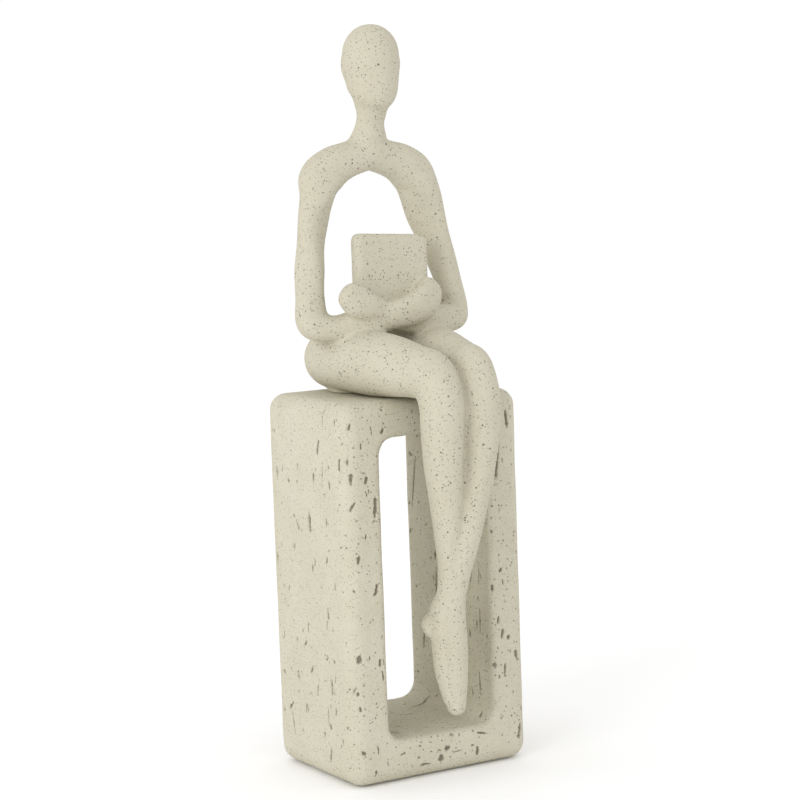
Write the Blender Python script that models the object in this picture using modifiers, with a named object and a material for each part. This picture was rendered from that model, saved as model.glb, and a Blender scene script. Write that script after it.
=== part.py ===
"""A seated reading figure on an upright rectangular stone-look frame.

Metres, +Z up. The figure faces -Y, and the frame's opening runs along Y.
The origin is at the middle of the frame's underside.
"""

import bmesh
import bpy
from math import cos, pi, radians, sin
from mathutils import Matrix, Vector

COLLECTION = "reading_statuette"
MERGE = 0.0001

# The frame that the figure sits on
FRAME_WIDTH = 0.0952
FRAME_DEPTH = 0.0735
FRAME_HEIGHT = 0.175
FRAME_EDGE_RADIUS = 0.008
FRAME_EDGE_SEGMENTS = 5
OPENING_WIDTH = 0.0557
OPENING_FLOOR = 0.0197
TOP_BAR_HEIGHT = 0.0169
OPENING_HEIGHT = FRAME_HEIGHT - OPENING_FLOOR - TOP_BAR_HEIGHT
OPENING_CORNER_RADIUS = 0.008
OPENING_RIM_RADIUS = 0.003

# The figure, laid out on a grid of 170 steps from the seat to the crown
SEATED_HEIGHT = 0.170
STEP = SEATED_HEIGHT / 170
SEAT_GAP = 0.0003
BOOK_WIDTH = 0.039
BOOK_HEIGHT = 0.040
BOOK_THICKNESS = 0.0075
BOOK_EDGE_RADIUS = 0.0028

# Skin of the figure: the size of the cells that fuse its limbs, and the share of faces kept
SKIN_CELL = 0.0015
SKIN_SMOOTHING = 5
SKIN_KEPT = 0.115
RING_SIDES = 24
STEPS_BETWEEN = 5
CAP_RINGS = 6
CAP_ANGLE = radians(82)

STONE = ("ivory_stone", (0.73, 0.70, 0.59), 0.85)
PLASTER = ("warm_ivory", (0.76, 0.73, 0.62), 0.75)


def clear_scene():
    """Take every object out of the open file."""
    for thing in list(bpy.data.objects):
        bpy.data.objects.remove(thing, do_unlink=True)


def make_collection(name):
    """Link a new collection to the scene."""
    made = bpy.data.collections.new(name)
    bpy.context.scene.collection.children.link(made)
    return made


def make_material(name, colour, roughness):
    """A plain Principled finish."""
    material = bpy.data.materials.new(name)
    material.use_nodes = True
    shader = material.node_tree.nodes["Principled BSDF"]
    shader.inputs["Base Color"].default_value = (*colour, 1.0)
    shader.inputs["Roughness"].default_value = roughness
    shader.inputs["Metallic"].default_value = 0.0
    return material


def make_object(name, form, collection, material=None):
    """Turn a bmesh into an object in the collection."""
    mesh = bpy.data.meshes.new(name)
    form.to_mesh(mesh)
    form.free()
    if material:
        mesh.materials.append(material)
    made = bpy.data.objects.new(name, mesh)
    collection.objects.link(made)
    return made


def block(low, high):
    """A box between two corners."""
    form = bmesh.new()
    bmesh.ops.create_cube(form, size=1.0)
    size = Vector(high) - Vector(low)
    middle = (Vector(high) + Vector(low)) / 2
    place = Matrix.Translation(middle) @ Matrix.Diagonal((*size, 1.0))
    bmesh.ops.transform(form, matrix=place, verts=form.verts)
    return form


def hide_cutter(cutter):
    """Keep a cutter out of the model."""
    cutter.hide_render = True
    cutter.display_type = "WIRE"


def add_cut(target, cutter):
    """Cut one object out of another."""
    cut = target.modifiers.new("cut", "BOOLEAN")
    cut.operation = "DIFFERENCE"
    cut.solver = "EXACT"
    cut.object = cutter


def round_edges(target, name, width, segments, angle):
    """Round the edges that are sharper than an angle."""
    bevel = target.modifiers.new(name, "BEVEL")
    bevel.width = width
    bevel.segments = segments
    bevel.limit_method = "ANGLE"
    bevel.angle_limit = radians(angle)
    bevel.use_clamp_overlap = True


def build_frame(parts, cutters):
    """The upright stone-look frame with its opening."""
    half_width = FRAME_WIDTH / 2
    half_depth = FRAME_DEPTH / 2
    form = block((-half_width, -half_depth, 0), (half_width, half_depth, FRAME_HEIGHT))
    frame = make_object("frame_base", form, parts, make_material(*STONE))
    round_edges(frame, "outer edges", FRAME_EDGE_RADIUS, FRAME_EDGE_SEGMENTS, 30)

    half_opening = OPENING_WIDTH / 2
    top = OPENING_FLOOR + OPENING_HEIGHT
    form = block((-half_opening, -FRAME_DEPTH, OPENING_FLOOR), (half_opening, FRAME_DEPTH, top))
    lengthwise = [edge for edge in form.edges if abs(edge.verts[0].co.y - edge.verts[1].co.y) > FRAME_DEPTH]
    bmesh.ops.bevel(form, geom=lengthwise, offset=OPENING_CORNER_RADIUS,
                    segments=FRAME_EDGE_SEGMENTS, profile=0.5, affect="EDGES")
    cutter = make_object("opening_cutter", form, cutters)
    hide_cutter(cutter)
    add_cut(frame, cutter)
    round_edges(frame, "opening rims", OPENING_RIM_RADIUS, 3, 60)


class Station:
    """One section of a limb: its middle, half width, half thickness and turn."""

    def __init__(self, x, y, z, width, thickness, turn=0.0):
        self.values = (x, y, z, width, thickness, turn)

    def mirrored(self):
        """The same section on the other side of the body."""
        x, y, z, width, thickness, turn = self.values
        return Station(-x, y, z, width, thickness, -turn)


def smooth_between(before, start, end, after, share):
    """A value on the smooth curve through four neighbouring values."""
    slope_in = (end - before) / 2
    slope_out = (after - start) / 2
    squared = share * share
    cubed = squared * share
    return ((2 * cubed - 3 * squared + 1) * start + (cubed - 2 * squared + share) * slope_in
            + (3 * squared - 2 * cubed) * end + (cubed - squared) * slope_out)


def fill_in(stations):
    """Sections along the smooth curve through the stations."""
    rows = [station.values for station in stations]
    rows = [rows[0], *rows, rows[-1]]
    filled = []
    for index in range(1, len(rows) - 2):
        four = rows[index - 1:index + 3]
        for step in range(STEPS_BETWEEN):
            share = step / STEPS_BETWEEN
            filled.append([smooth_between(*values, share) for values in zip(*four)])
    filled.append(list(rows[-1]))
    return filled


def add_cap_sections(sections, directions, reaches):
    """Round both ends of a row of sections."""
    ends_of_row = ((sections[0], directions[0], -1), (sections[-1], directions[-1], 1))
    caps = []
    for (row, direction, sign), given in zip(ends_of_row, reaches):
        reach = given or min(row[3], row[4])
        cap = []
        for ring in range(1, CAP_RINGS + 1):
            angle = ring / CAP_RINGS * CAP_ANGLE
            middle = Vector(row[:3]) + direction * (reach * sin(angle) * sign)
            cap.append([*middle, row[3] * cos(angle), row[4] * cos(angle), row[5]])
        caps.append(cap)
    first = [directions[0]] * CAP_RINGS
    last = [directions[-1]] * CAP_RINGS
    return caps[0][::-1] + sections + caps[1], first + directions + last


def add_limb(form, stations, across, reaches=(None, None)):
    """A closed tube through the stations, with its sections laid out from the across direction.

    The reaches are how far the rounded ends run on, where that isn't the section's own size.
    """
    sections = fill_in(stations)
    middles = [Vector(row[:3]) for row in sections]
    directions = []
    for index in range(len(middles)):
        ahead = middles[min(index + 1, len(middles) - 1)]
        behind = middles[max(index - 1, 0)]
        directions.append((ahead - behind).normalized())
    sections, directions = add_cap_sections(sections, directions, reaches)
    rings = []
    for row, direction in zip(sections, directions):
        side = (across - direction * across.dot(direction)).normalized()
        normal = direction.cross(side)
        turn = radians(row[5])
        side, normal = side * cos(turn) + normal * sin(turn), normal * cos(turn) - side * sin(turn)
        ring = []
        for corner in range(RING_SIDES):
            angle = 2 * pi * corner / RING_SIDES
            point = Vector(row[:3]) + side * (row[3] * cos(angle)) + normal * (row[4] * sin(angle))
            ring.append(form.verts.new(on_frame(point)))
        rings.append(ring)
    for lower, upper in zip(rings, rings[1:]):
        for corner in range(RING_SIDES):
            following = (corner + 1) % RING_SIDES
            form.faces.new((lower[corner], lower[following], upper[following], upper[corner]))
    form.faces.new(rings[0][::-1])
    form.faces.new(rings[-1])


def on_frame(point):
    """A place on the figure's grid, which starts at the frame's front top edge."""
    return Vector((point[0] * STEP, point[1] * STEP - FRAME_DEPTH / 2,
                   point[2] * STEP + FRAME_HEIGHT + SEAT_GAP))


ACROSS_X = Vector((1, 0, 0))
ACROSS_Y = Vector((0, 1, 0))

HEAD_AND_NECK = [
    Station(0, 49, 110, 12, 8),
    Station(0, 48.7, 113.5, 10.0, 8),
    Station(0, 47.8, 118, 7.8, 7.2),
    Station(0, 47, 123, 6.6, 6.6),
    Station(0, 45.4, 127.5, 7.0, 7.2),
    Station(0, 44.2, 132, 8.8, 9.6),
    Station(0, 43.6, 137, 11.0, 12.0),
    Station(0, 43.5, 143, 12.8, 13.8),
    Station(0, 43.7, 149.5, 13.6, 14.6),
    Station(0, 44, 154.5, 13.4, 14.2),
]
CROWN_REACH = 14
NECK_ROOT_REACH = 3
HIPS = [
    Station(0, 49, 3, 24.5, 18),
    Station(0, 49, 9, 30, 20),
    Station(0, 49, 15, 32.4, 21),
    Station(0, 48.5, 22, 33.2, 20.5),
    Station(0, 47.5, 27, 31, 16.5),
]
HIP_TOP_REACH = 6
UPPER_ARM = [
    Station(0, 49, 109.8, 8.0, 8.0),
    Station(10, 50, 107.0, 8.2, 9.2),
    Station(18.5, 50, 103.6, 8.4, 9.3),
    Station(25.8, 50, 99.2, 8.6, 11.0, -10),
    Station(27.8, 50, 90, 9.2, 9.3, -35),
    Station(30.5, 49.6, 80.5, 9.3, 7.2, -55),
    Station(33.6, 47.2, 69, 8.3, 6.5, -52),
    Station(36.0, 44.5, 58, 7.6, 6.8, -45),
    Station(37.6, 42, 46, 7.4, 7.2, -20),
]
NEAR_FOREARM = [
    Station(37.4, 40, 34.5, 7.6, 7.6),
    Station(29.5, 35.5, 30.1, 6.4, 5.6),
    Station(18, 30, 31.4, 5.8, 5.3),
    Station(6, 25, 33.8, 5.4, 5.3),
    Station(-4, 22.5, 37.0, 5.4, 5.8),
    Station(-12, 23, 42, 5.4, 6.8),
    Station(-17, 26.5, 45.5, 4.8, 5.6),
]
FAR_FOREARM = [
    Station(37.5, 39, 32.5, 7.6, 7.6),
    Station(28, 34, 31.4, 6.2, 6.4),
    Station(13, 29, 31, 5.8, 5.4),
    Station(-3, 26.5, 34.2, 5.4, 5.4),
    Station(-14, 25, 39, 5.2, 5.8),
    Station(-22, 25, 43, 5.0, 6.8),
    Station(-26.5, 25.5, 45.2, 4.4, 5.6),
]
NEAR_THIGH = [
    Station(-19, 56, 15, 14.5, 14.5),
    Station(-18.5, 36, 15, 15.0, 14.8),
    Station(-17, 20, 15, 14.3, 14.9),
    Station(-14.5, 6, 14.0, 13, 13.8),
    Station(-12, -7, 12.6, 11.5, 12.0),
    Station(-10.2, -17.5, 10.4, 10.3, 11.6),
    Station(-9.6, -23, 0, 9.8, 11.2),
    Station(-9.4, -22.8, -13, 9.4, 10.6),
]
FAR_THIGH = [
    Station(19, 56, 14, 14.5, 14.5),
    Station(18.5, 36, 14.5, 15.0, 14.8),
    Station(17, 20, 14.6, 14.3, 14.9),
    Station(15, 6, 14.2, 13, 14.0),
    Station(12.4, -7, 12.8, 11.8, 12.7),
    Station(10.4, -17.5, 10.8, 11.0, 12.2),
    Station(9.4, -23.2, 0, 9.8, 11.4),
    Station(9.2, -23.2, -13, 9.5, 10.8),
]
NEAR_SHIN = [
    Station(-8.7, -21.5, -28, 8.4, 10.2),
    Station(-6.6, -19.6, -46, 7.2, 8.8),
    Station(-4.8, -17.0, -62, 5.8, 7.2),
    Station(-3.0, -14.6, -77, 5.0, 6.0),
    Station(-3.2, -12.5, -89, 4.9, 5.6),
    Station(-4.6, -9.0, -99, 5.2, 7.6),
    Station(-4.6, -9.6, -112, 5.0, 6.4),
    Station(-4.0, -10, -124, 5.0, 5.6),
    Station(-2.2, -11.2, -137, 4.0, 4.2),
]
FAR_SHIN = [
    Station(8.3, -22.2, -28, 8.4, 10.2),
    Station(5.4, -21.8, -46, 7.0, 8.8),
    Station(2.8, -20.2, -62, 6.2, 7.3),
    Station(0.6, -17.4, -77, 5.4, 6.0),
    Station(-0.6, -14.4, -89, 5.2, 5.6),
    Station(-0.4, -12.4, -100, 5.6, 6.2),
    Station(0.2, -12.0, -114, 5.8, 6.2),
    Station(0.2, -11.8, -129, 5.4, 5.6),
    Station(0, -11.8, -141, 4.4, 4.6),
]
HEEL = [
    Station(-4.5, -9, -100, 4.6, 5.6),
    Station(-7.8, -4.4, -104.2, 4.2, 5.8),
]


def mirrored(stations):
    """The stations on the other side of the body."""
    return [station.mirrored() for station in stations]


def add_book(form):
    """The book: a rounded slab that leans back in the hands."""
    size = Vector((BOOK_WIDTH, BOOK_THICKNESS, BOOK_HEIGHT)) / 2
    slab = block(-size, size)
    bmesh.ops.bevel(slab, geom=slab.edges[:], offset=BOOK_EDGE_RADIUS, segments=3,
                    profile=0.5, affect="EDGES")
    place = (Matrix.Translation(on_frame((0.2, 33.5, 52.5)))
             @ Matrix.Rotation(radians(3.5), 4, "Y") @ Matrix.Rotation(radians(-6), 4, "X"))
    bmesh.ops.transform(slab, matrix=place, verts=slab.verts)
    mesh = bpy.data.meshes.new("book")
    slab.to_mesh(mesh)
    slab.free()
    form.from_mesh(mesh)
    bpy.data.meshes.remove(mesh)


def build_figure(parts, cutters):
    """The seated figure and its book, fused into one casting."""
    form = bmesh.new()
    add_limb(form, HEAD_AND_NECK, ACROSS_X, (NECK_ROOT_REACH, CROWN_REACH))
    add_limb(form, HIPS, ACROSS_X, (None, HIP_TOP_REACH))
    add_limb(form, mirrored(UPPER_ARM + NEAR_FOREARM), ACROSS_Y)
    add_limb(form, UPPER_ARM + FAR_FOREARM, ACROSS_Y)
    add_limb(form, NEAR_THIGH + NEAR_SHIN, ACROSS_X)
    add_limb(form, FAR_THIGH + FAR_SHIN, ACROSS_X)
    add_limb(form, HEEL, ACROSS_X)
    add_book(form)
    figure = make_object("seated_figure", form, parts, make_material(*PLASTER))

    fuse = figure.modifiers.new("fuse the limbs", "REMESH")
    fuse.mode = "VOXEL"
    fuse.voxel_size = SKIN_CELL
    fuse.use_smooth_shade = True
    soften = figure.modifiers.new("soften the joins", "SMOOTH")
    soften.factor = 0.5
    soften.iterations = SKIN_SMOOTHING
    thin = figure.modifiers.new("thin the faces", "DECIMATE")
    thin.ratio = SKIN_KEPT

    seat = FRAME_HEIGHT + SEAT_GAP
    form = block((-FRAME_WIDTH, -FRAME_DEPTH / 2 - SEAT_GAP, seat - FRAME_HEIGHT / 2),
                 (FRAME_WIDTH, FRAME_DEPTH, seat))
    cutter = make_object("seat_cutter", form, cutters)
    hide_cutter(cutter)
    add_cut(figure, cutter)


def main():
    """Build the whole statuette."""
    clear_scene()
    parts = make_collection(COLLECTION)
    cutters = make_collection("cutters")
    build_frame(parts, cutters)
    build_figure(parts, cutters)


main()
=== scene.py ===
"""Looks of the seated reader on its open stone-look frame.

The statuette is two castings: the figure with its book, smooth and speckled, and the upright frame
under it, grainy and pitted like travertine. Both are remade here as fine meshes on the solids' own
sizes, with real pits, and get procedural finishes.
"""

import logging
import math
from dataclasses import dataclass, field
from enum import Enum

import bmesh
import bpy
import numpy as np
from mathutils import Matrix, Vector
from mathutils.kdtree import KDTree


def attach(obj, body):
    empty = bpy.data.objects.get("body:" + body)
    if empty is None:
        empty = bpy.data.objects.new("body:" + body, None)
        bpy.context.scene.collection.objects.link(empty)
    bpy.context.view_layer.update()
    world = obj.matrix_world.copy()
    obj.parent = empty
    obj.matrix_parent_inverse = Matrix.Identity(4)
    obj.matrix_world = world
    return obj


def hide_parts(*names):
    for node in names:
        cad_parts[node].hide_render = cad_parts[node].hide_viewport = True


LOG = logging.getLogger("statuette")
MM = 0.001
SEED = 41

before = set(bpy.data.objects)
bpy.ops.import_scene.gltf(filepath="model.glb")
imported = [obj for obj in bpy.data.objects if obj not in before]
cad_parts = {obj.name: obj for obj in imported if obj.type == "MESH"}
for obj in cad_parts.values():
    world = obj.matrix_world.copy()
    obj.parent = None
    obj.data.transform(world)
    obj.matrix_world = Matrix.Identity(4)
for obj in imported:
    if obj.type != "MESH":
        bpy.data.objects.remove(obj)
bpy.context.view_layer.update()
BODY = "root"


class Solid(Enum):
    """The solids that the fine pieces stand for, and the record's material slots of both."""

    FRAME = ("frame_base", "pitted_stone")
    FIGURE = ("seated_figure", "speckled_casting")


class Facing(Enum):
    """Which way a face of the frame looks."""

    LEFT = "left"
    RIGHT = "right"
    FRONT = "front"
    BACK = "back"
    TOP = "top"
    INNER_LEFT = "inner left"
    INNER_RIGHT = "inner right"
    INNER_FLOOR = "inner floor"
    INNER_ROOF = "inner roof"


# Shader maths


class Value:
    """A socket of a shader tree that takes part in ordinary arithmetic."""

    def __init__(self, tree: "Finish", socket: bpy.types.NodeSocket) -> None:
        """Wrap an output socket.

        Args:
            tree: The finish whose node tree holds the socket.
            socket: The output socket.
        """
        self.tree = tree
        self.socket = socket

    def _math(self, operation: str, *others: "Value | float") -> "Value":
        """Add one Math node.

        Args:
            operation: The node's operation.
            others: Its further inputs.

        Returns:
            The node's result.
        """
        return self.tree.add("ShaderNodeMath", {"operation": operation}, {0: self, **dict(enumerate(others, 1))})

    def __add__(self, other: "Value | float") -> "Value":
        """Sum."""
        return self._math("ADD", other)

    __radd__ = __add__

    def __sub__(self, other: "Value | float") -> "Value":
        """Difference."""
        return self._math("SUBTRACT", other)

    def __rsub__(self, other: float) -> "Value":
        """Difference from a number."""
        return self._math("MULTIPLY", -1.0)._math("ADD", other)

    def __mul__(self, other: "Value | float") -> "Value":
        """Product."""
        return self._math("MULTIPLY", other)

    __rmul__ = __mul__

    def __truediv__(self, other: "Value | float") -> "Value":
        """Quotient."""
        return self._math("DIVIDE", other)

    def above(self, limit: "Value | float") -> "Value":
        """One where the value is above a limit."""
        return self._math("GREATER_THAN", limit)

    def larger(self, other: "Value | float") -> "Value":
        """The larger of two values."""
        return self._math("MAXIMUM", other)

    def kept_between(self, low: float, high: float) -> "Value":
        """The value stretched so that low gives 0 and high gives 1, smoothly and clamped.

        Args:
            low: The value that gives 0.
            high: The value that gives 1.

        Returns:
            The stretched value.
        """
        settings = {"interpolation_type": "SMOOTHSTEP", "clamp": True}
        return self.tree.add("ShaderNodeMapRange", settings, {0: self, 1: low, 2: high, 3: 0.0, 4: 1.0})


class Finish:
    """One procedural material under construction."""

    def __init__(self, name: str) -> None:
        """Start an empty Principled material.

        Args:
            name: The material's name.
        """
        self.material = bpy.data.materials.new(name)
        self.material.use_nodes = True
        self.nodes = self.material.node_tree.nodes
        self.links = self.material.node_tree.links
        self.shader = self.nodes["Principled BSDF"]
        self.place = self.add("ShaderNodeTexCoord", {}, {}, "Object")

    def add(self, kind: str, settings: dict, inputs: dict, output: "str | int" = 0) -> Value:
        """Add one node.

        Args:
            kind: The node's type.
            settings: Its properties, set first.
            inputs: Values or links by socket name or number.
            output: The socket that is returned.

        Returns:
            The chosen output.
        """
        node = self.nodes.new(kind)
        for key, value in settings.items():
            setattr(node, key, value)
        for key, value in inputs.items():
            if isinstance(value, Value):
                self.links.new(value.socket, node.inputs[key])
            else:
                node.inputs[key].default_value = value
        return Value(self, node.outputs[output])

    def noise(self, cell: float, detail: float = 2.0, rough: float = 0.5, at: "Value | None" = None) -> Value:
        """Soft noise of a given grain size.

        Args:
            cell: The grain's size in metres.
            detail: The number of finer layers.
            rough: The strength of the finer layers.
            at: Where the noise is read, or the object's own coordinates.

        Returns:
            A value around one half.
        """
        sockets = {"Vector": at or self.place, "Scale": 1.0 / cell, "Detail": detail, "Roughness": rough}
        return self.add("ShaderNodeTexNoise", {"noise_dimensions": "3D"}, sockets, "Fac")

    def specks(self, cell: float, radius: float, share: float, at: "Value | None" = None) -> Value:
        """Round specks, at most one to a cell.

        Args:
            cell: The spacing in metres.
            radius: The largest speck's radius in metres.
            share: The share of the cells that hold a speck.
            at: Where the pattern is read, or the object's own coordinates.

        Returns:
            One inside a speck, falling to 0 at its edge.
        """
        settings = {"voronoi_dimensions": "3D", "feature": "F1"}
        cells = self.add("ShaderNodeTexVoronoi", settings, {"Vector": at or self.place, "Scale": 1.0 / cell})
        node = cells.socket.node
        parts = self.add("ShaderNodeSeparateColor", {}, {0: Value(self, node.outputs["Color"])})
        pick = Value(self, parts.socket.node.outputs[0])
        size = Value(self, parts.socket.node.outputs[1]) * 0.6 + 0.4
        distance = cells / size
        edge = radius / cell
        inside = 1.0 - distance.kept_between(edge * 0.72, edge * 1.1)
        return inside * pick.above(1.0 - share)

    def mix(self, share: Value, first: "Value | tuple", second: "Value | tuple") -> Value:
        """Blend two colours.

        Args:
            share: 0 for the first colour and 1 for the second.
            first: A colour or its socket.
            second: A colour or its socket.

        Returns:
            The blended colour.
        """
        settings = {"data_type": "RGBA", "blend_type": "MIX", "clamp_factor": True}
        return self.add("ShaderNodeMix", settings, {0: share, 6: first, 7: second}, 2)

    def bump(self, height: Value, depth: float, beneath: "Value | None" = None) -> Value:
        """Raise the surface by a height pattern.

        Args:
            height: The pattern, 0 to 1.
            depth: How far 1 stands out, in metres.
            beneath: A bump that this one adds to.

        Returns:
            The bent normal.
        """
        sockets = {"Height": height, "Distance": depth, "Strength": 1.0}
        if beneath:
            sockets["Normal"] = beneath
        return self.add("ShaderNodeBump", {}, sockets, "Normal")

    def attribute(self, name: str) -> Value:
        """A value that the mesh carries."""
        return self.add("ShaderNodeAttribute", {"attribute_type": "GEOMETRY", "attribute_name": name}, {}, "Fac")

    def feed(self, socket: str, value: "Value | float") -> None:
        """Link or set one socket of the shader.

        Args:
            socket: The Principled socket's name.
            value: A link or a number.
        """
        if isinstance(value, Value):
            self.links.new(value.socket, self.shader.inputs[socket])
        else:
            self.shader.inputs[socket].default_value = value


def tint(red: float, green: float, blue: float) -> tuple:
    """A colour with full alpha."""
    return (red, green, blue, 1.0)


@dataclass(frozen=True)
class CastingFinish:
    """The figure's smooth warm ivory casting with fine dark specks."""

    ivory: tuple = tint(0.548, 0.514, 0.402)
    shade: tuple = tint(0.455, 0.422, 0.322)
    pale: tuple = tint(0.590, 0.560, 0.452)
    speck: tuple = tint(0.110, 0.100, 0.078)
    faint_speck: tuple = tint(0.260, 0.240, 0.190)
    roughness: float = 0.78

    def material(self) -> bpy.types.Material:
        """Build the node tree.

        Returns:
            The finished material.
        """
        made = Finish("speckled casting")
        cloud = made.noise(26 * MM, 3.0).kept_between(0.3, 0.7)
        grain = made.noise(0.55 * MM, 2.0, 0.6).kept_between(0.3, 0.7)
        body = made.mix(cloud * 0.5, self.ivory, self.pale)
        body = made.mix((1.0 - grain) * 0.32, body, self.shade)
        mottling = made.noise(2.6 * MM, 3.0, 0.65).kept_between(0.5, 0.75)
        body = made.mix(mottling * 0.22, body, self.shade)
        faint = made.specks(0.85 * MM, 0.27 * MM, 0.9)
        fine = made.specks(1.35 * MM, 0.36 * MM, 0.8)
        bold = made.specks(3.0 * MM, 0.55 * MM, 0.6)
        body = made.mix(faint * 0.6, body, self.faint_speck)
        body = made.mix(fine * 0.75, body, self.speck)
        body = made.mix(bold * 0.85, body, self.speck)
        made.feed("Base Color", body)
        made.feed("Roughness", grain * 0.12 + (self.roughness - 0.06))
        pitted = 1.0 - fine.larger(bold)
        normal = made.bump(grain, 0.035 * MM)
        made.feed("Normal", made.bump(pitted, 0.12 * MM, normal))
        made.feed("Specular IOR Level", 0.3)
        return made.material


@dataclass(frozen=True)
class StoneFinish:
    """The frame's grainy, pitted stone look, with painted shade in its pits."""

    stone: tuple = tint(0.580, 0.548, 0.432)
    shade: tuple = tint(0.490, 0.455, 0.345)
    pale: tuple = tint(0.625, 0.598, 0.488)
    # Painted shade in the pits: a mid tone at their shallow edges and a near-black one where they are deepest.
    pit: tuple = tint(0.215, 0.190, 0.142)
    pit_rim_painted_shade: tuple = tint(0.370, 0.338, 0.258)
    speck: tuple = tint(0.180, 0.163, 0.124)
    roughness: float = 0.9

    def material(self) -> bpy.types.Material:
        """Build the node tree.

        Returns:
            The finished material.
        """
        made = Finish("pitted stone")
        cloud = made.noise(18 * MM, 4.0, 0.6).kept_between(0.35, 0.65)
        grain = made.noise(0.7 * MM, 3.0, 0.7).kept_between(0.3, 0.7)
        body = made.mix(cloud * 0.6, self.stone, self.pale)
        body = made.mix((1.0 - grain) * 0.35, body, self.shade)
        fine = made.specks(1.0 * MM, 0.33 * MM, 0.9)
        bold = made.specks(2.4 * MM, 0.6 * MM, 0.7)
        body = made.mix(fine * 0.6, body, self.speck)
        body = made.mix(bold * 0.7, body, self.speck)
        # Painted shade: the pits' hollow depth, noted on the mesh, darkens them towards their bottoms.
        pit = made.attribute("pit")
        ragged = pit + (made.noise(0.9 * MM, 3.0, 0.7) - 0.5) * (pit.kept_between(0.02, 0.3) * 1.1)
        body = made.mix(ragged.kept_between(0.12, 0.45) * 0.7, body, self.pit_rim_painted_shade)
        body = made.mix(ragged.kept_between(0.4, 0.85) * 0.85, body, self.pit)
        made.feed("Base Color", body)
        made.feed("Roughness", self.roughness)
        height = grain * 0.5 + made.noise(2.2 * MM, 3.0, 0.6) * 0.5
        made.feed("Normal", made.bump(height, 0.16 * MM))
        made.feed("Specular IOR Level", 0.25)
        return made.material


# Helpers for meshes


def only(thing: bpy.types.Object) -> None:
    """Make one object the only selected and active one."""
    bpy.ops.object.select_all(action="DESELECT")
    thing.select_set(True)
    bpy.context.view_layer.objects.active = thing


def apply_modifier(thing: bpy.types.Object, kind: str, **settings: object) -> None:
    """Add one modifier and apply it.

    Args:
        thing: The object.
        kind: The modifier's type.
        settings: Its properties.
    """
    only(thing)
    modifier = thing.modifiers.new(kind.lower(), kind)
    for key, value in settings.items():
        setattr(modifier, key, value)
    bpy.ops.object.modifier_apply(modifier=modifier.name)


def add_block(low: tuple, high: tuple) -> bpy.types.Object:
    """A cube primitive between two corners, with its place in its mesh.

    Args:
        low: The lowest corner in metres.
        high: The highest corner in metres.

    Returns:
        The new object.
    """
    bpy.ops.object.select_all(action="DESELECT")
    middle = [(a + b) / 2 for a, b in zip(low, high)]
    bpy.ops.mesh.primitive_cube_add(size=1.0, location=middle)
    made = bpy.context.object
    made.scale = [b - a for a, b in zip(low, high)]
    bpy.ops.object.transform_apply(location=True, rotation=True, scale=True)
    return made


def read_points(thing: bpy.types.Object) -> np.ndarray:
    """The mesh's points as rows of x, y and z."""
    flat = np.empty(len(thing.data.vertices) * 3, dtype=np.float64)
    thing.data.vertices.foreach_get("co", flat)
    return flat.reshape(-1, 3)


def write_points(thing: bpy.types.Object, points: np.ndarray) -> None:
    """Set the mesh's points."""
    thing.data.vertices.foreach_set("co", points.astype(np.float32).ravel())
    thing.data.update()


def dress(thing: bpy.types.Object, name: str, material: bpy.types.Material, solid: Solid) -> None:
    """Name a finished piece, give it its finish, hide the solid that it stands for and attach it to the body.

    Args:
        thing: The finished piece.
        name: Its name.
        material: Its finish.
        solid: The solid.
    """
    node, slot = solid.value
    thing.name = name
    thing.data.name = name
    thing.data.materials.clear()
    thing.data.materials.append(material)
    only(thing)
    bpy.ops.object.shade_smooth()
    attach(thing, BODY)
    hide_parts(node)
    LOG.info("%s: %d faces", name, len(thing.data.polygons))


# The pitted frame


# The larger marks in the stone: place across and up the face, length, width and lean from its grain

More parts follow.
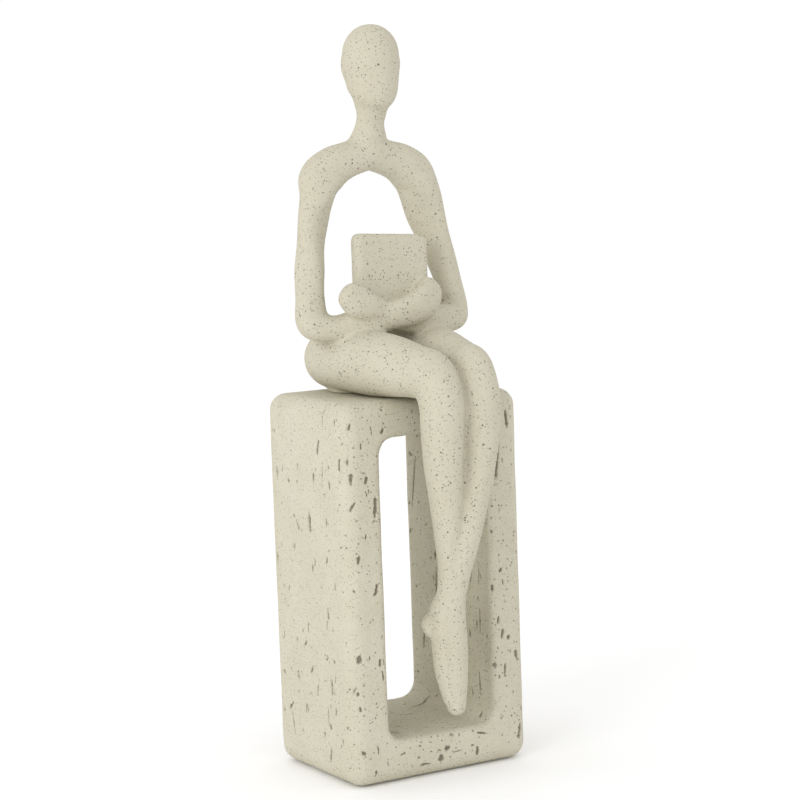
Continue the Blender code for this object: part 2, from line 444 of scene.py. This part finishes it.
MARKS = {
    Facing.LEFT: (
        (-19, 168, 8.9, 0.7, -2), (-14, 154, 7.6, 1.6, 17), (6, 144, 2.9, 0.9, 0),
        (15, 136, 2.3, 1.4, -12), (-9, 140, 5.2, 1.6, 2), (-17, 143, 8.5, 0.7, 6),
        (-23, 138, 5.2, 1.5, 5), (-32, 148, 5.7, 0.9, 2), (11, 120, 2, 1.6, -23),
        (8, 116, 4.9, 1.3, -28), (-4, 119, 9.1, 2.4, 0), (-19, 121, 4.7, 1.1, 12),
        (12, 106, 2.3, 1.2, -5), (-5, 98, 3.9, 1.3, 1), (-18, 103, 3.6, 1.2, 5), (29, 98, 5.8, 1.4, 5),
        (26, 139, 6, 1.2, 1), (-17, 78, 5.5, 1.4, -4), (-37, 81, 5.2, 1.6, 11), (2, 69, 4.4, 1.1, 11),
        (5, 61, 3.6, 1.2, 33), (13, 62, 2.1, 1.1, -23), (-15, 58, 2.6, 1.1, 10), (-18, 45, 8.9, 1.4, -1),
        (-5, 41, 5, 1.1, 7), (0, 50, 4.7, 1.3, 36), (27, 44, 1.9, 1.5, 5), (13, 45, 4.1, 1.1, 1),
        (7, 30, 4, 1.3, 5), (20, 21, 10.5, 1, -7), (-14, 31, 7.4, 0.8, 0), (-15, 26, 2.8, 1.8, -21),
        (-21, 34, 3.2, 1.3, -2), (-10, 21, 2.4, 1.3, 5), (-15, 12, 7.2, 1.4, 9), (22, 28, 4.6, 1.2, 38),
        (-21, 57, 1.5, 2, 5),
    ),
    Facing.FRONT: (
        (-43, 142, 5, 1.6, 0), (-36, 141, 3.2, 1.9, -1), (-43, 129, 3.8, 1.3, 31),
        (-32, 128, 10.7, 1.9, 4), (-41, 105, 4.4, 1.5, 6), (-27, 162, 2.7, 1.7, 35),
        (-33, 91, 4.5, 1.5, 12), (-37, 115, 2.2, 0.9, 2), (-33, 89, 3.3, 1.2, 66),
        (-43, 60, 4.2, 2.2, 26), (-32, 57, 4.5, 1.2, -4), (-31, 51, 4, 1, -10), (-44, 44, 2, 1.1, 3),
        (-43, 37, 2.7, 1, 5), (-42, 17, 1.7, 2.2, 76), (-36, 7, 2.1, 1.2, 2), (40, 161, 8.6, 1.5, -5),
        (34, 142, 18.2, 1.5, 4), (26, 118, 2.2, 1.8, 2), (34, 91, 2.2, 1.8, 2), (29, 83, 3.4, 1.3, -5),
        (32, 68, 3.7, 1.1, -2), (34, 61, 4.3, 1.5, 2), (37, 59, 2.5, 1.5, 2), (42, 50, 5.6, 2, -2),
        (35, 44, 5.5, 1.1, 8), (42, 14, 7.4, 2.3, 14), (2, 12, 3.3, 1.8, 61), (18, 8, 3.9, 1.8, 6),
        (-2, 8, 3.7, 2.8, 14), (21, 16, 5.1, 1, 98), (-10, 6, 5, 1.1, 96),
    ),
    Facing.INNER_RIGHT: (
        (28, 126, 23.6, 0.9, 9), (11, 79, 14.1, 1, 2), (24, 49, 7.8, 1.3, 0), (-27, 88, 8.7, 1, 0),
        (-27, 67, 12.4, 1.3, -1), (-18, 59, 3.7, 1.5, -4), (-25, 36, 10.7, 1.3, 1),
        (-18, 31, 5.6, 1, -1), (-28, 22, 3.1, 1.5, -1), (-20, 87, 12.2, 1, 16),
    ),
    Facing.INNER_FLOOR: (
        (-5, -3, 4, 1.1, 39), (24, 18, 23.3, 1, -23), (8, -29, 6.2, 1, -11), (6, 3, 6, 0.9, -2),
        (-17, -23, 5.2, 1.3, 66),
    ),
}


@dataclass(frozen=True)
class Pit:
    """One elongated hollow in the stone."""

    place: tuple
    inward: tuple
    along: tuple
    length: float
    width: float
    depth: float


@dataclass
class PittedFrame:
    """The upright frame: its sizes, its pits and its fine mesh."""

    width: float = 95.2 * MM
    depth: float = 73.5 * MM
    height: float = 175 * MM
    edge_radius: float = 8 * MM
    opening_width: float = 55.7 * MM
    opening_floor: float = 19.7 * MM
    opening_height: float = 138.4 * MM
    opening_corner: float = 8 * MM
    rim_radius: float = 3 * MM
    cell: float = 1.9 * MM
    fine_edge: float = 0.42 * MM
    pits: list = field(default_factory=list)

    def outside(self, points: np.ndarray) -> np.ndarray:
        """How far points lie outside the frame's true surface.

        Args:
            points: Rows of x, y and z.

        Returns:
            Signed distances, negative inside.
        """
        half = np.array([self.width, self.depth, self.height]) / 2 - self.edge_radius
        from_middle = np.abs(points - [0, 0, self.height / 2]) - half
        block = (np.linalg.norm(np.maximum(from_middle, 0), axis=1)
                 + np.minimum(from_middle.max(axis=1), 0) - self.edge_radius)
        half = np.array([self.opening_width, self.opening_height]) / 2 - self.opening_corner
        middle = np.array([0, self.opening_floor + self.opening_height / 2])
        from_middle = np.abs(points[:, [0, 2]] - middle) - half
        opening = (np.linalg.norm(np.maximum(from_middle, 0), axis=1)
                   + np.minimum(from_middle.max(axis=1), 0) - self.opening_corner)
        rim = self.rim_radius
        both = np.stack([np.maximum(rim + block, 0), np.maximum(rim - opening, 0)], axis=1)
        return np.minimum(-rim, np.maximum(block, -opening)) + np.linalg.norm(both, axis=1)

    def outward(self, points: np.ndarray) -> np.ndarray:
        """The surface's outward directions at points.

        Args:
            points: Rows of x, y and z.

        Returns:
            Unit vectors.
        """
        reach = 0.05 * MM
        slopes = []
        for axis in range(3):
            step = np.zeros(3)
            step[axis] = reach
            slopes.append(self.outside(points + step) - self.outside(points - step))
        slopes = np.stack(slopes, axis=1)
        return slopes / np.maximum(np.linalg.norm(slopes, axis=1, keepdims=True), 1e-12)

    def settle(self, points: np.ndarray) -> np.ndarray:
        """Move points onto the frame's true surface.

        Args:
            points: Rows of x, y and z near the surface.

        Returns:
            The moved points.
        """
        for _ in range(3):
            points = points - self.outward(points) * self.outside(points)[:, None]
        return points

    def block(self) -> bpy.types.Object:
        """The rounded block with its opening, as an even mesh.

        Returns:
            The new object.
        """
        half_width = self.width / 2
        half_depth = self.depth / 2
        made = add_block((-half_width, -half_depth, 0), (half_width, half_depth, self.height))
        apply_modifier(made, "BEVEL", width=self.edge_radius, segments=6)
        half_opening = self.opening_width / 2
        top = self.opening_floor + self.opening_height
        cutter = add_block((-half_opening, -self.depth, self.opening_floor), (half_opening, self.depth, top))
        apply_modifier(made, "BOOLEAN", object=cutter, operation="DIFFERENCE", solver="EXACT")
        bpy.data.objects.remove(cutter, do_unlink=True)
        apply_modifier(made, "REMESH", mode="VOXEL", voxel_size=self.cell, use_smooth_shade=True)
        write_points(made, self.settle(read_points(made)))
        return made

    def on_face(self, facing: Facing, across: float, up: float) -> tuple:
        """A place on one face of the frame.

        Args:
            facing: The face.
            across: The place along the face's level direction, in metres.
            up: The height, or the depth on a level face, in metres.

        Returns:
            The point, the direction into the stone, and the upright or level grain direction.
        """
        half_width = self.width / 2
        half_depth = self.depth / 2
        half_opening = self.opening_width / 2
        roof = self.opening_floor + self.opening_height
        faces = {
            Facing.LEFT: ((-half_width, across, up), (1, 0, 0), (0, 0, 1)),
            Facing.RIGHT: ((half_width, across, up), (-1, 0, 0), (0, 0, 1)),
            Facing.FRONT: ((across, -half_depth, up), (0, 1, 0), (0, 0, 1)),
            Facing.BACK: ((across, half_depth, up), (0, -1, 0), (0, 0, 1)),
            Facing.TOP: ((across, up, self.height), (0, 0, -1), (1, 0, 0)),
            Facing.INNER_LEFT: ((-half_opening, across, up), (-1, 0, 0), (0, 0, 1)),
            Facing.INNER_RIGHT: ((half_opening, across, up), (1, 0, 0), (0, 0, 1)),
            Facing.INNER_FLOOR: ((across, up, self.opening_floor), (0, 0, -1), (1, 0, 0)),
            Facing.INNER_ROOF: ((across, up, roof), (0, 0, 1), (1, 0, 0)),
        }
        return faces[facing]

    def add_pit(self, facing: Facing, across: float, up: float, length: float, width: float,
                depth: float, lean: float = 0.0) -> None:
        """Place one pit.

        Args:
            facing: The face that it is in.
            across: Its place along the face, in millimetres.
            up: Its height, or its depth on a level face, in millimetres.
            length: Its full length in millimetres.
            width: Its full width in millimetres.
            depth: Its depth in millimetres.
            lean: How far it leans from the grain, in degrees.
        """
        place, inward, along = self.on_face(facing, across * MM, up * MM)
        turn = Matrix.Rotation(math.radians(lean), 3, Vector(inward))
        along = tuple(turn @ Vector(along))
        self.pits.append(Pit(place, inward, along, length * MM, width * MM, depth * MM))

    def opening_roof(self) -> float:
        """The height of the opening's roof."""
        return self.opening_floor + self.opening_height

    def scatter_pits(self) -> None:
        """Set the marked pits, then strew small ones over every face, always in the same places."""
        draw = np.random.default_rng(SEED)
        for facing, marks in MARKS.items():
            for across, up, length, width, lean in marks:
                depth = 0.55 + 0.3 * min(width, 2.0)
                self.add_pit(facing, across, up, length * 1.15, width * 1.1, depth, lean)
        half_width = self.width / 2 / MM
        half_depth = self.depth / 2 / MM
        half_opening = self.opening_width / 2 / MM
        height = self.height / MM
        floor = self.opening_floor / MM
        roof = self.opening_roof() / MM
        deep = (-half_depth, half_depth)
        left_post = (-half_width, -half_opening)
        right_post = (half_opening, half_width)
        span = (-half_opening, half_opening)
        upright = (4, height - 4)
        strewn = (
            (Facing.LEFT, deep, upright, 80, 0, 0.7), (Facing.RIGHT, deep, upright, 120, 0, 1.0),
            (Facing.FRONT, left_post, upright, 26, 0, 0.7), (Facing.FRONT, right_post, upright, 34, 0, 0.7),
            (Facing.FRONT, span, (3, floor), 12, 90, 0.8), (Facing.FRONT, span, (roof, height - 3), 12, 90, 0.8),
            (Facing.BACK, left_post, upright, 44, 0, 1.0), (Facing.BACK, right_post, upright, 44, 0, 1.0),
            (Facing.BACK, span, (3, floor), 20, 90, 1.0), (Facing.BACK, span, (roof, height - 3), 18, 90, 1.0),
            (Facing.TOP, (-half_width, half_width), deep, 40, 0, 0.8),
            (Facing.INNER_LEFT, deep, (floor, roof), 56, 0, 1.0),
            (Facing.INNER_RIGHT, deep, (floor, roof), 50, 0, 0.9),
            (Facing.INNER_FLOOR, span, deep, 30, 0, 1.0), (Facing.INNER_ROOF, span, deep, 18, 0, 1.0),
        )
        for facing, across, up, count, lean, size in strewn:
            for _ in range(count):
                length = draw.choice((1.3, 2.1, 3.6, 6.5), p=(0.38, 0.30, 0.20, 0.12)) * draw.uniform(0.75, 1.3)
                width = min(length, draw.uniform(0.7, 1.6)) * size
                depth = draw.uniform(0.4, 0.9) * min(1.0, width)
                self.add_pit(facing, draw.uniform(*across), draw.uniform(*up), length * size, width, depth,
                             lean + draw.normal(0, 9))

    def refine(self, made: bpy.types.Object) -> None:
        """Split the mesh finely where the pits come.

        Args:
            made: The frame's even mesh.
        """
        form = bmesh.new()
        form.from_mesh(made.data)
        bmesh.ops.triangulate(form, faces=form.faces[:])
        for _ in range(5):
            edges = form.edges[:]
            middles = np.array([(edge.verts[0].co + edge.verts[1].co)[:] for edge in edges]) / 2
            lengths = np.array([edge.calc_length() for edge in edges])
            tree = KDTree(len(edges))
            for index, middle in enumerate(middles):
                tree.insert(middle, index)
            tree.balance()
            wanted = np.full(len(edges), np.inf)
            for pit in self.pits:
                reach = (pit.length + pit.width) / 2 + 2 * MM
                found = np.array([index for _, index, _ in tree.find_range(pit.place, reach)], dtype=int)
                if not len(found):
                    continue
                offset = middles[found] - pit.place
                run = offset @ np.array(pit.along)
                rest = np.linalg.norm(offset - run[:, None] * np.array(pit.along), axis=1)
                gap = np.maximum(np.abs(run) - pit.length / 2, 0) + np.maximum(rest - pit.width / 2, 0)
                finest = self.fine_edge * 1.4 + np.maximum(gap - 0.35 * MM, 0) * 0.9
                wanted[found] = np.minimum(wanted[found], finest)
            split = [edges[index] for index in np.nonzero(lengths > wanted)[0]]
            if not split:
                break
            bmesh.ops.subdivide_edges(form, edges=split, cuts=1)
            bmesh.ops.triangulate(form, faces=[face for face in form.faces if len(face.verts) > 3])
        form.to_mesh(made.data)
        form.free()

    def carve(self, made: bpy.types.Object) -> None:
        """Press the pits into the surface, and note how deep each point lies.

        Args:
            made: The refined mesh.
        """
        points = self.settle(read_points(made))
        outward = self.outward(points)
        draw = np.random.default_rng(SEED + 1)
        sunk = np.zeros(len(points))
        share = np.zeros(len(points))
        for pit in self.pits:
            offset = points - pit.place
            close = np.nonzero(np.linalg.norm(offset, axis=1) < pit.length / 2 + 1.5 * MM)[0]
            if not len(close):
                continue
            offset = offset[close]
            inward = np.array(pit.inward)
            along = np.array(pit.along)
            across = np.cross(inward, along)
            run = offset @ along
            rest = offset @ across
            wave = draw.uniform(0, 2 * math.pi, 4)
            ragged = (0.16 * np.sin(run / (0.75 * MM) + wave[0]) + 0.12 * np.sin(run / (0.31 * MM) + wave[1]))
            bend = 0.22 * pit.width * np.sin(run / (0.45 * pit.length) + wave[2])
            distance = np.sqrt((run / (pit.length / 2)) ** 2 + ((rest - bend) / (pit.width / 2)) ** 2)
            distance = distance * (1 + ragged * np.minimum(distance, 1))
            faces_it = outward[close] @ inward < -0.35
            hollow = np.clip((1.12 - distance) / 0.62, 0, 1)
            hollow = hollow * hollow * (3 - 2 * hollow) * faces_it
            sunk[close] = np.maximum(sunk[close], hollow * pit.depth)
            share[close] = np.maximum(share[close], hollow)
        wear = self.wear(points)
        write_points(made, points - outward * (sunk + wear)[:, None])
        # How deep each point lies in its pit, which the stone's finish turns into painted shade.
        noted = made.data.attributes.new("pit", "FLOAT", "POINT")
        noted.data.foreach_set("value", share.astype(np.float32))

    def wear(self, points: np.ndarray) -> np.ndarray:
        """Shallow unevenness of the hand-finished faces, never proud of the true surface.

        Args:
            points: Rows of x, y and z.

        Returns:
            How far each point lies below the true surface, in metres.
        """
        draw = np.random.default_rng(SEED + 2)
        total = np.zeros(len(points))
        for _ in range(14):
            direction = draw.normal(size=3)
            direction /= np.linalg.norm(direction) * draw.uniform(2.0, 9.0) * MM
            total += np.sin(points @ direction + draw.uniform(0, 2 * math.pi))
        flat_foot = np.clip(points[:, 2] / (2 * MM), 0, 1)
        seat = np.clip((self.height - points[:, 2]) / (2 * MM), 0, 1)
        return (0.11 + 0.028 * np.clip(total, -3.9, 3.9)) * MM * flat_foot * (0.35 + 0.65 * seat)

    def build(self) -> bpy.types.Object:
        """Make the frame's finished mesh.

        Returns:
            The finished piece.
        """
        self.scatter_pits()
        made = self.block()
        self.refine(made)
        self.carve(made)
        return made


# The seated figure


@dataclass(frozen=True)
class Section:
    """One section of a limb, on a grid of 170 steps from the seat to the crown."""

    x: float
    y: float
    z: float
    width: float
    thickness: float
    turn: float = 0.0

    def row(self) -> tuple:
        """The section's numbers in order."""
        return (self.x, self.y, self.z, self.width, self.thickness, self.turn)

    def mirrored(self) -> "Section":
        """The same section on the other side of the body."""
        return Section(-self.x, self.y, self.z, self.width, self.thickness, -self.turn)


HEAD_AND_NECK = (
    Section(0, 49.25, 110, 12, 8), Section(0, 49.2, 113.5, 10, 8), Section(0, 47.55, 118, 8.3, 7.45),
    Section(0, 46.5, 123, 6.6, 6.6), Section(0, 44.9, 127.5, 7, 6.7), Section(0, 44.2, 132, 8.05, 9.35),
    Section(0, 42.85, 137, 11, 12), Section(0, 43, 143, 12.3, 12.8),
    Section(0, 43.95, 149.5, 13.6, 14.35), Section(0, 43.75, 154.5, 12.9, 13.95),
)
HIPS = (
    Section(0, 49, 3, 24.5, 18), Section(0, 49, 9, 30, 20), Section(0, 49, 15, 32.4, 21),
    Section(0, 48.5, 22, 33.2, 20.5), Section(0, 47.5, 27, 31, 16.5),
)
UPPER_ARM = (
    Section(0, 49, 109.8, 8, 8), Section(10, 50.5, 107, 8.45, 8.2),
    Section(18.25, 50.75, 103.85, 8.65, 9.3), Section(24.8, 51, 98.2, 8.85, 10, -10),
    Section(27.8, 50, 89.75, 9.7, 7.8, -35), Section(30.25, 49.6, 80, 9.3, 5.95, -55),
    Section(33.1, 47.7, 69, 7.8, 5.75, -52), Section(35.75, 45, 57, 6.85, 6.8, -45),
    Section(37.6, 42.25, 45.25, 5.65, 6.7, -20),
)
NEAR_FOREARM = (
    Section(37.4, 40, 33.5, 7.6, 7.35), Section(29.5, 35.5, 31, 6.4, 5.7), Section(18, 30, 33, 6.2, 6.8),
    Section(6, 25, 35.6, 6.2, 6.6), Section(-4, 22.5, 37.5, 6, 7.2), Section(-12, 23, 41.5, 5.6, 7.6),
    Section(-17, 26.5, 46.25, 4.8, 6.3),
)
FAR_FOREARM = (
    Section(37.5, 39, 32.25, 7.6, 5.6), Section(28, 33.5, 31.35, 6.4, 6.8),
    Section(13, 28, 31.95, 6, 6.6), Section(-3, 26.5, 34.2, 5.4, 5.4), Section(-14, 25, 39.5, 5.2, 5.8),
    Section(-22, 25, 42.75, 5, 7.55), Section(-26.5, 25.5, 46.2, 4.4, 6.35),
)
NEAR_THIGH = (
    Section(-18, 56, 15, 14.5, 14.25), Section(-18, 36, 15, 15, 14.55),
    Section(-17, 20, 14.75, 14.3, 14.9), Section(-14.5, 6, 14, 13, 13.8),
    Section(-12, -7, 12.6, 11.5, 12), Section(-10.2, -17.5, 10.4, 10.3, 11.6),
    Section(-9.6, -23, 0, 9.8, 11.2), Section(-9.4, -22.8, -13, 9.4, 10.6),
)
FAR_THIGH = (
    Section(19, 56, 14, 14.5, 14.5), Section(18.5, 36, 14.5, 15, 14.3),
    Section(16.75, 20, 14.35, 14.3, 14.15), Section(14.5, 6, 12.95, 13, 13.5),
    Section(12.4, -7, 11.8, 11.8, 12.45), Section(10.4, -17.5, 10.55, 9.5, 12.2),
    Section(9.4, -23.2, 0, 9.8, 11.4), Section(9.2, -23.2, -13, 9.5, 10.8),
)
NEAR_SHIN = (
    Section(-8.7, -21.5, -28, 8.4, 10.2), Section(-6.6, -19.6, -46, 7.2, 8.8),
    Section(-4.8, -17.0, -62, 5.8, 7.2), Section(-3.0, -14.6, -77, 5.0, 6.0),
    Section(-3.2, -12.5, -89, 4.9, 5.6), Section(-4.6, -9.0, -99, 5.2, 7.6),
    Section(-4.6, -9.6, -112, 5.0, 6.4), Section(-4.0, -10, -124, 5.0, 5.6),
    Section(-2.2, -11.2, -137, 4.0, 4.2),
)
FAR_SHIN = (
    Section(8.3, -22.2, -28, 8.4, 10.2), Section(5.4, -21.8, -46, 7.0, 8.8),
    Section(2.8, -20.2, -62, 6.2, 7.3), Section(0.6, -17.4, -77, 5.4, 6.0),
    Section(-0.6, -14.4, -89, 5.2, 5.6), Section(-0.4, -12.4, -100, 5.6, 6.2),
    Section(0.2, -12.0, -114, 5.8, 6.2), Section(0.2, -11.8, -129, 5.4, 5.6),
    Section(0, -11.8, -141, 4.4, 4.6),
)
HEEL = (Section(-4.5, -9, -100, 4.6, 5.6), Section(-7.8, -4.4, -104.2, 4.2, 5.8))


@dataclass
class SeatedFigure:
    """The figure and its book: limbs laid out as sections and fused into one skin."""

    seated_height: float = 170 * MM
    seat: float = 175 * MM
    seat_gap: float = 0.3 * MM
    front_edge: float = -36.75 * MM
    book: tuple = (39 * MM, 7.5 * MM, 40 * MM)
    book_edge: float = 2.8 * MM
    cell: float = 0.9 * MM
    softening: int = 14
    arm_squareness: float = 2.5
    sides: int = 40
    steps: int = 8
    cap_rings: int = 8

    def on_frame(self, x: float, y: float, z: float) -> Vector:
        """A place on the figure's grid, which starts at the frame's front top edge."""
        step = self.seated_height / 170
        return Vector((x * step, y * step + self.front_edge, z * step + self.seat + self.seat_gap))

    def filled(self, sections: tuple) -> list:
        """Sections along the smooth curve through the given ones.

        Args:
            sections: The given sections.

        Returns:
            Rows of x, y, z, half width, half thickness and turn.
        """
        rows = [section.row() for section in sections]
        rows = np.array([rows[0], *rows, rows[-1]], dtype=float)
        found = []
        for index in range(1, len(rows) - 2):
            before, start, end, after = rows[index - 1:index + 3]
            for step in range(self.steps):
                share = step / self.steps
                squared = share * share
                cubed = squared * share
                found.append((2 * cubed - 3 * squared + 1) * start + (cubed - 2 * squared + share) * (end - before) / 2
                             + (3 * squared - 2 * cubed) * end + (cubed - squared) * (after - start) / 2)
        found.append(rows[-1])
        return found

    def capped(self, rows: list, directions: list, reaches: tuple) -> tuple:
        """Round both ends of a row of sections.

        Args:
            rows: The filled sections.
            directions: The way the limb runs at each.
            reaches: How far the ends run on, or None for the section's own size.

        Returns:
            The longer rows and directions.
        """
        caps = []
        for row, direction, sign, given in ((rows[0], directions[0], -1, reaches[0]),
                                            (rows[-1], directions[-1], 1, reaches[1])):
            reach = given or min(row[3], row[4])
            cap = []
            for ring in range(1, self.cap_rings + 1):
                angle = ring / self.cap_rings * math.radians(82)
                middle = Vector(row[:3]) + direction * (reach * math.sin(angle) * sign)
                cap.append([*middle, row[3] * math.cos(angle), row[4] * math.cos(angle), row[5]])
            caps.append(cap)
        rings = self.cap_rings
        return (caps[0][::-1] + rows + caps[1],
                [directions[0]] * rings + directions + [directions[-1]] * rings)

    def add_limb(self, form: bmesh.types.BMesh, sections: tuple, across: Vector,
                 reaches: tuple = (None, None), squareness: float = 2.0) -> None:
        """Add a closed tube through the sections.

        Args:
            form: The mesh that it goes in.
            sections: The limb's sections.
            across: The direction that the sections' widths are laid out from.
            reaches: How far the rounded ends run on.
            squareness: 2 for elliptical sections, more for squarer ones.
        """
        power = 2 / squareness
        rows = self.filled(sections)
        middles = [Vector(row[:3]) for row in rows]
        last = len(middles) - 1
        directions = [(middles[min(index + 1, last)] - middles[max(index - 1, 0)]).normalized()
                      for index in range(len(middles))]
        rows, directions = self.capped(rows, directions, reaches)
        rings = []
        for row, direction in zip(rows, directions):
            side = (across - direction * across.dot(direction)).normalized()
            normal = direction.cross(side)
            turn = math.radians(row[5])
            wide = side * math.cos(turn) + normal * math.sin(turn)
            thick = normal * math.cos(turn) - side * math.sin(turn)
            ring = []
            for corner in range(self.sides):
                angle = 2 * math.pi * corner / self.sides
                cosine = math.copysign(abs(math.cos(angle)) ** power, math.cos(angle))
                sine = math.copysign(abs(math.sin(angle)) ** power, math.sin(angle))
                point = Vector(row[:3]) + wide * (row[3] * cosine) + thick * (row[4] * sine)
                ring.append(form.verts.new(self.on_frame(*point)))
            rings.append(ring)
        for lower, upper in zip(rings, rings[1:]):
            for corner in range(self.sides):
                following = (corner + 1) % self.sides
                form.faces.new((lower[corner], lower[following], upper[following], upper[corner]))
        form.faces.new(rings[0][::-1])
        form.faces.new(rings[-1])

    def limbs(self) -> bpy.types.Object:
        """All limbs as loose closed tubes in one mesh.

        Returns:
            The new object.
        """
        form = bmesh.new()
        level = Vector((1, 0, 0))
        deep = Vector((0, 1, 0))
        self.add_limb(form, HEAD_AND_NECK, level, (3, 14))
        self.add_limb(form, HIPS, level, (None, 6))
        near_arm = tuple(part.mirrored() for part in UPPER_ARM + NEAR_FOREARM)
        self.add_limb(form, near_arm, deep, squareness=self.arm_squareness)
        self.add_limb(form, UPPER_ARM + FAR_FOREARM, deep, squareness=self.arm_squareness)
        self.add_limb(form, NEAR_THIGH + NEAR_SHIN, level)
        self.add_limb(form, FAR_THIGH + FAR_SHIN, level)
        self.add_limb(form, HEEL, level)
        mesh = bpy.data.meshes.new("limbs")
        form.to_mesh(mesh)
        form.free()
        made = bpy.data.objects.new("limbs", mesh)
        bpy.context.scene.collection.objects.link(made)
        return made

    def slab(self) -> bpy.types.Object:
        """The book: a rounded slab that leans back in the hands.

        Returns:
            The new object.
        """
        half = [size / 2 for size in self.book]
        made = add_block(tuple(-size for size in half), tuple(half))
        apply_modifier(made, "BEVEL", width=self.book_edge, segments=4)
        place = (Matrix.Translation(self.on_frame(0.2, 33.5, 52.5))
                 @ Matrix.Rotation(math.radians(3.5), 4, "Y") @ Matrix.Rotation(math.radians(-6), 4, "X"))
        made.data.transform(place)
        return made

    def build(self) -> bpy.types.Object:
        """Fuse the limbs and the book, soften the joins and cut the seat flat.

        Returns:
            The finished piece.
        """
        made = self.limbs()
        book = self.slab()
        only(made)
        book.select_set(True)
        bpy.ops.object.join()
        apply_modifier(made, "REMESH", mode="VOXEL", voxel_size=self.cell, use_smooth_shade=True)
        apply_modifier(made, "SMOOTH", factor=0.5, iterations=self.softening)
        seat = self.seat + self.seat_gap
        reach = 2 * abs(self.front_edge)
        cutter = add_block((-reach, self.front_edge - self.seat_gap, self.seat / 2), (reach, reach, seat))
        apply_modifier(made, "BOOLEAN", object=cutter, operation="DIFFERENCE", solver="EXACT")
        bpy.data.objects.remove(cutter, do_unlink=True)
        return made


# The studio


@dataclass
class Studio:
    """A pale floor, soft lights and the camera at the photo's viewing angle."""

    azimuth: float = -30.678
    stand_off: float = 1.1207
    eye_height: float = 0.303
    look_down: float = 6.754
    look_aside: float = -0.22
    roll: float = -2.063
    lens: float = 109.28
    floor_colour: tuple = tint(0.985, 0.985, 0.985)

    def camera(self) -> None:
        """Place the camera as the photograph's was."""
        around = math.radians(self.azimuth)
        place = Vector((math.sin(around) * self.stand_off, -math.cos(around) * self.stand_off, self.eye_height))
        facing = around + math.radians(self.look_aside)
        turn = (Matrix.Rotation(facing, 4, "Z") @ Matrix.Rotation(math.radians(90 - self.look_down), 4, "X")
                @ Matrix.Rotation(math.radians(self.roll), 4, "Z"))
        data = bpy.data.cameras.new("camera")
        data.lens = self.lens
        data.sensor_width = 36.0
        camera = bpy.data.objects.new("camera", data)
        camera.matrix_world = Matrix.Translation(place) @ turn
        bpy.context.scene.collection.objects.link(camera)
        bpy.context.scene.camera = camera

    def light(self, name: str, place: tuple, power: float, size: float, colour: tuple = (1, 1, 1)) -> None:
        """Add one soft light that faces the figure.

        Args:
            name: Its name.
            place: Where it hangs, in metres.
            power: Its power in watts.
            size: Its side in metres.
            colour: Its colour.
        """
        data = bpy.data.lights.new(name, "AREA")
        data.energy = power
        data.size = size
        data.color = colour
        lamp = bpy.data.objects.new(name, data)
        lamp.location = place
        aim = Vector((0, 0, 0.17)) - Vector(place)
        lamp.rotation_euler = aim.to_track_quat("-Z", "Y").to_euler()
        bpy.context.scene.collection.objects.link(lamp)

    def floor(self) -> None:
        """Lay the pale floor."""
        bpy.ops.object.select_all(action="DESELECT")
        bpy.ops.mesh.primitive_plane_add(size=30.0, location=(0, 0, -0.0002))
        floor = bpy.context.object
        floor.name = "floor"
        made = Finish("pale floor")
        made.feed("Base Color", self.floor_colour)
        made.feed("Roughness", 0.9)
        floor.data.materials.append(made.material)

    def world(self) -> None:
        """Fill the surroundings with even white light."""
        world = bpy.data.worlds.new("white surroundings")
        world.use_nodes = True
        background = world.node_tree.nodes["Background"]
        background.inputs["Color"].default_value = (1.0, 1.0, 1.0, 1.0)
        background.inputs["Strength"].default_value = 1.02
        bpy.context.scene.world = world

    def build(self) -> None:
        """Set up the whole studio."""
        self.camera()
        self.floor()
        self.world()
        self.light("key", (-1.65, -0.75, 0.75), 9.5, 0.9)
        bpy.context.scene.view_settings.view_transform = "Standard"


def main() -> None:
    """Build the pieces and the studio."""
    logging.basicConfig(level=logging.INFO, format="%(message)s")
    bpy.ops.object.select_all(action="DESELECT")
    dress(PittedFrame().build(), "pitted_frame", StoneFinish().material(), Solid.FRAME)
    dress(SeatedFigure().build(), "reading_figure", CastingFinish().material(), Solid.FIGURE)
    Studio().build()


if __name__ == "__main__":
    main()
